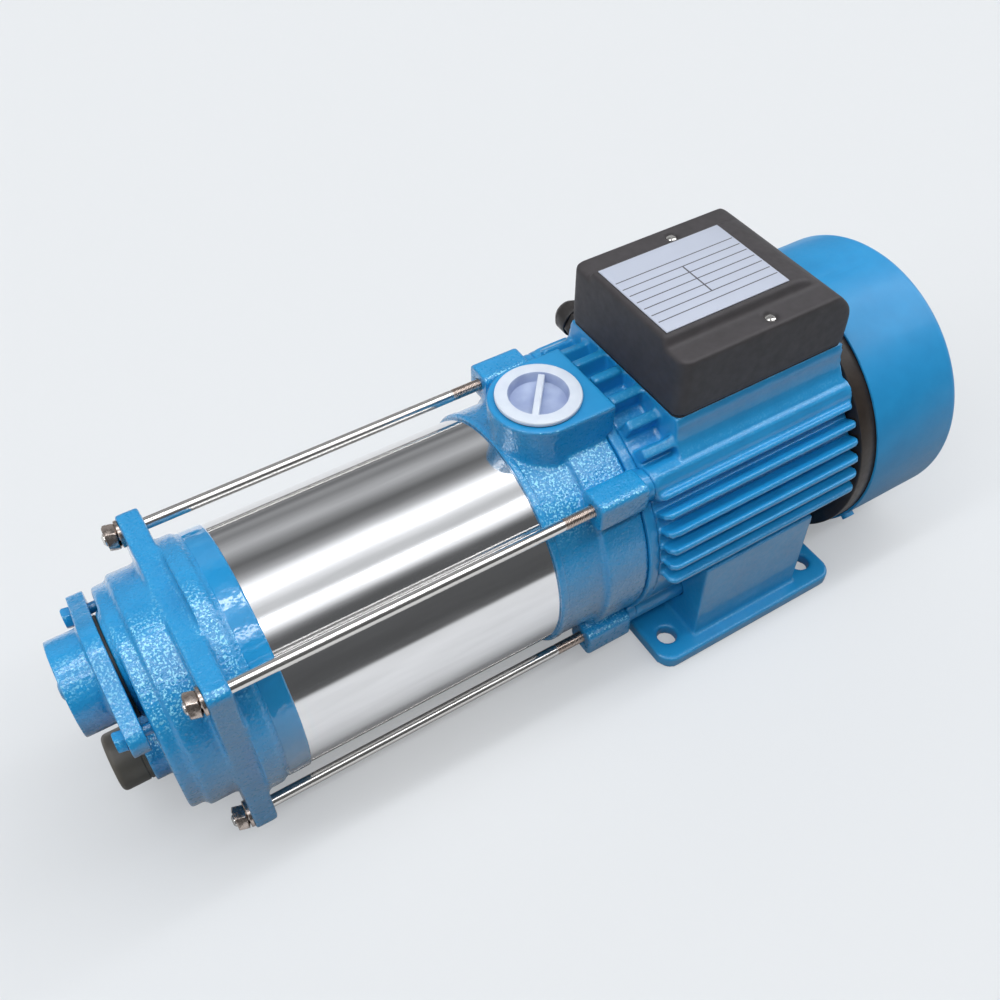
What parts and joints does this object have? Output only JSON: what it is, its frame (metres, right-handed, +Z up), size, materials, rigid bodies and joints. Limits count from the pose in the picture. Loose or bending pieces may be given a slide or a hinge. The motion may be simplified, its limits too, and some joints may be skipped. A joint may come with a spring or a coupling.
{
  "type": "horizontal multistage centrifugal pump",
  "caption": "Blue horizontal multistage pump: cast inlet and outlet casings on a polished tube held by tie rods, a finned foot-mounted motor, a dark terminal box and a fan cover.",
  "frame": {"origin": "centre of the four foot holes, on the plane that the feet stand on", "axes": "+X along the shaft from the pump to the fan cover, +Z up, +Y to the side of the cable gland"},
  "size_m": [0.417, 0.145, 0.176],
  "materials": {
    "blue_casting": "gloss paint on a rough casting",
    "blue_smooth": "gloss paint on a machined or pressed surface",
    "polished_steel": "mirror-polished stainless steel",
    "bright_steel": "bright stainless steel",
    "dark_steel": "laminated or ground steel",
    "black_paint": "dark paint",
    "copper": "enamelled copper",
    "white_plastic": "white polyethylene",
    "dark_plastic": "dark moulded plastic",
    "black_plastic": "black moulded plastic",
    "stage_plastic": "moulded stage plastic",
    "ivory_plastic": "moulded terminal block",
    "rubber": "black rubber",
    "label_sheet": "printed aluminium sheet, left bare",
    "cast_aluminium": "cast end rings and capacitor can"
  },
  "bodies": {
    "housing": {"suction_casing": "blue_casting", "suction_plate": "stage_plastic", "inlet_gasket": "rubber", "inlet_flange": "blue_casting", "inlet_bolts": "blue_smooth", "tie_rods": "bright_steel", "tie_rod_nuts": "bright_steel", "tie_rod_washers": "bright_steel", "pump_tube": "polished_steel", "front_tube_seal": "rubber", "rear_tube_seal": "rubber", "seal_seat": "ivory_plastic", "discharge_casing": "blue_casting", "outlet_washer": "rubber", "front_bracket": "blue_casting", "front_bearing_outer": "bright_steel", "motor_frame": "blue_casting", "motor_foot": "blue_casting", "foot_screws": "bright_steel", "stator_core": "dark_steel", "stator_windings": "copper", "rear_bearing_outer": "bright_steel", "rear_shield": "black_paint", "through_bolts": "bright_steel", "fan_cover": "blue_smooth", "fan_cover_screws": "blue_smooth", "box_gasket": "rubber", "box_lid": "dark_plastic", "label_plate": "label_sheet", "lid_screws": "bright_steel", "terminal_block": "ivory_plastic", "capacitor": "cast_aluminium", "cable_gland": "black_plastic", "gland_nut": "black_plastic", "stage_housing_1": "stage_plastic", "stage_housing_2": "stage_plastic", "stage_housing_3": "stage_plastic", "stage_housing_4": "stage_plastic", "stage_housing_5": "stage_plastic"},
    "rotor": {"impeller_1": "stage_plastic", "impeller_2": "stage_plastic", "impeller_3": "stage_plastic", "impeller_4": "stage_plastic", "impeller_5": "stage_plastic", "spacer_sleeves": "bright_steel", "impeller_nut": "bright_steel", "shaft": "bright_steel", "seal_head": "rubber", "front_bearing_inner": "bright_steel", "front_bearing_balls": "bright_steel", "rear_bearing_inner": "bright_steel", "rear_bearing_balls": "bright_steel", "rotor_core": "dark_steel", "rotor_end_rings": "cast_aluminium", "fan": "black_plastic", "fan_clip": "bright_steel"},
    "outlet_plug_body": {"outlet_plug": "white_plastic"},
    "inlet_plug_body": {"inlet_plug": "black_plastic"},
    "drain_plug_body": {"drain_plug": "black_plastic"}
  },
  "joints": [
    {"name": "shaft_spin", "type": "hinge", "parent": "housing", "child": "rotor", "pos_m": [0, 0, 0.071], "axis": [1, 0, 0], "continuous": true},
    {"name": "outlet_plug_pull", "type": "slide", "parent": "housing", "child": "outlet_plug_body", "axis": [0, 0, 1], "range_m": [0, 0.03]},
    {"name": "inlet_plug_pull", "type": "slide", "parent": "housing", "child": "inlet_plug_body", "axis": [-1, 0, 0], "range_m": [0, 0.03]},
    {"name": "drain_plug_pull", "type": "slide", "parent": "housing", "child": "drain_plug_body", "axis": [-1, 0, 0], "range_m": [0, 0.03]}
  ]
}
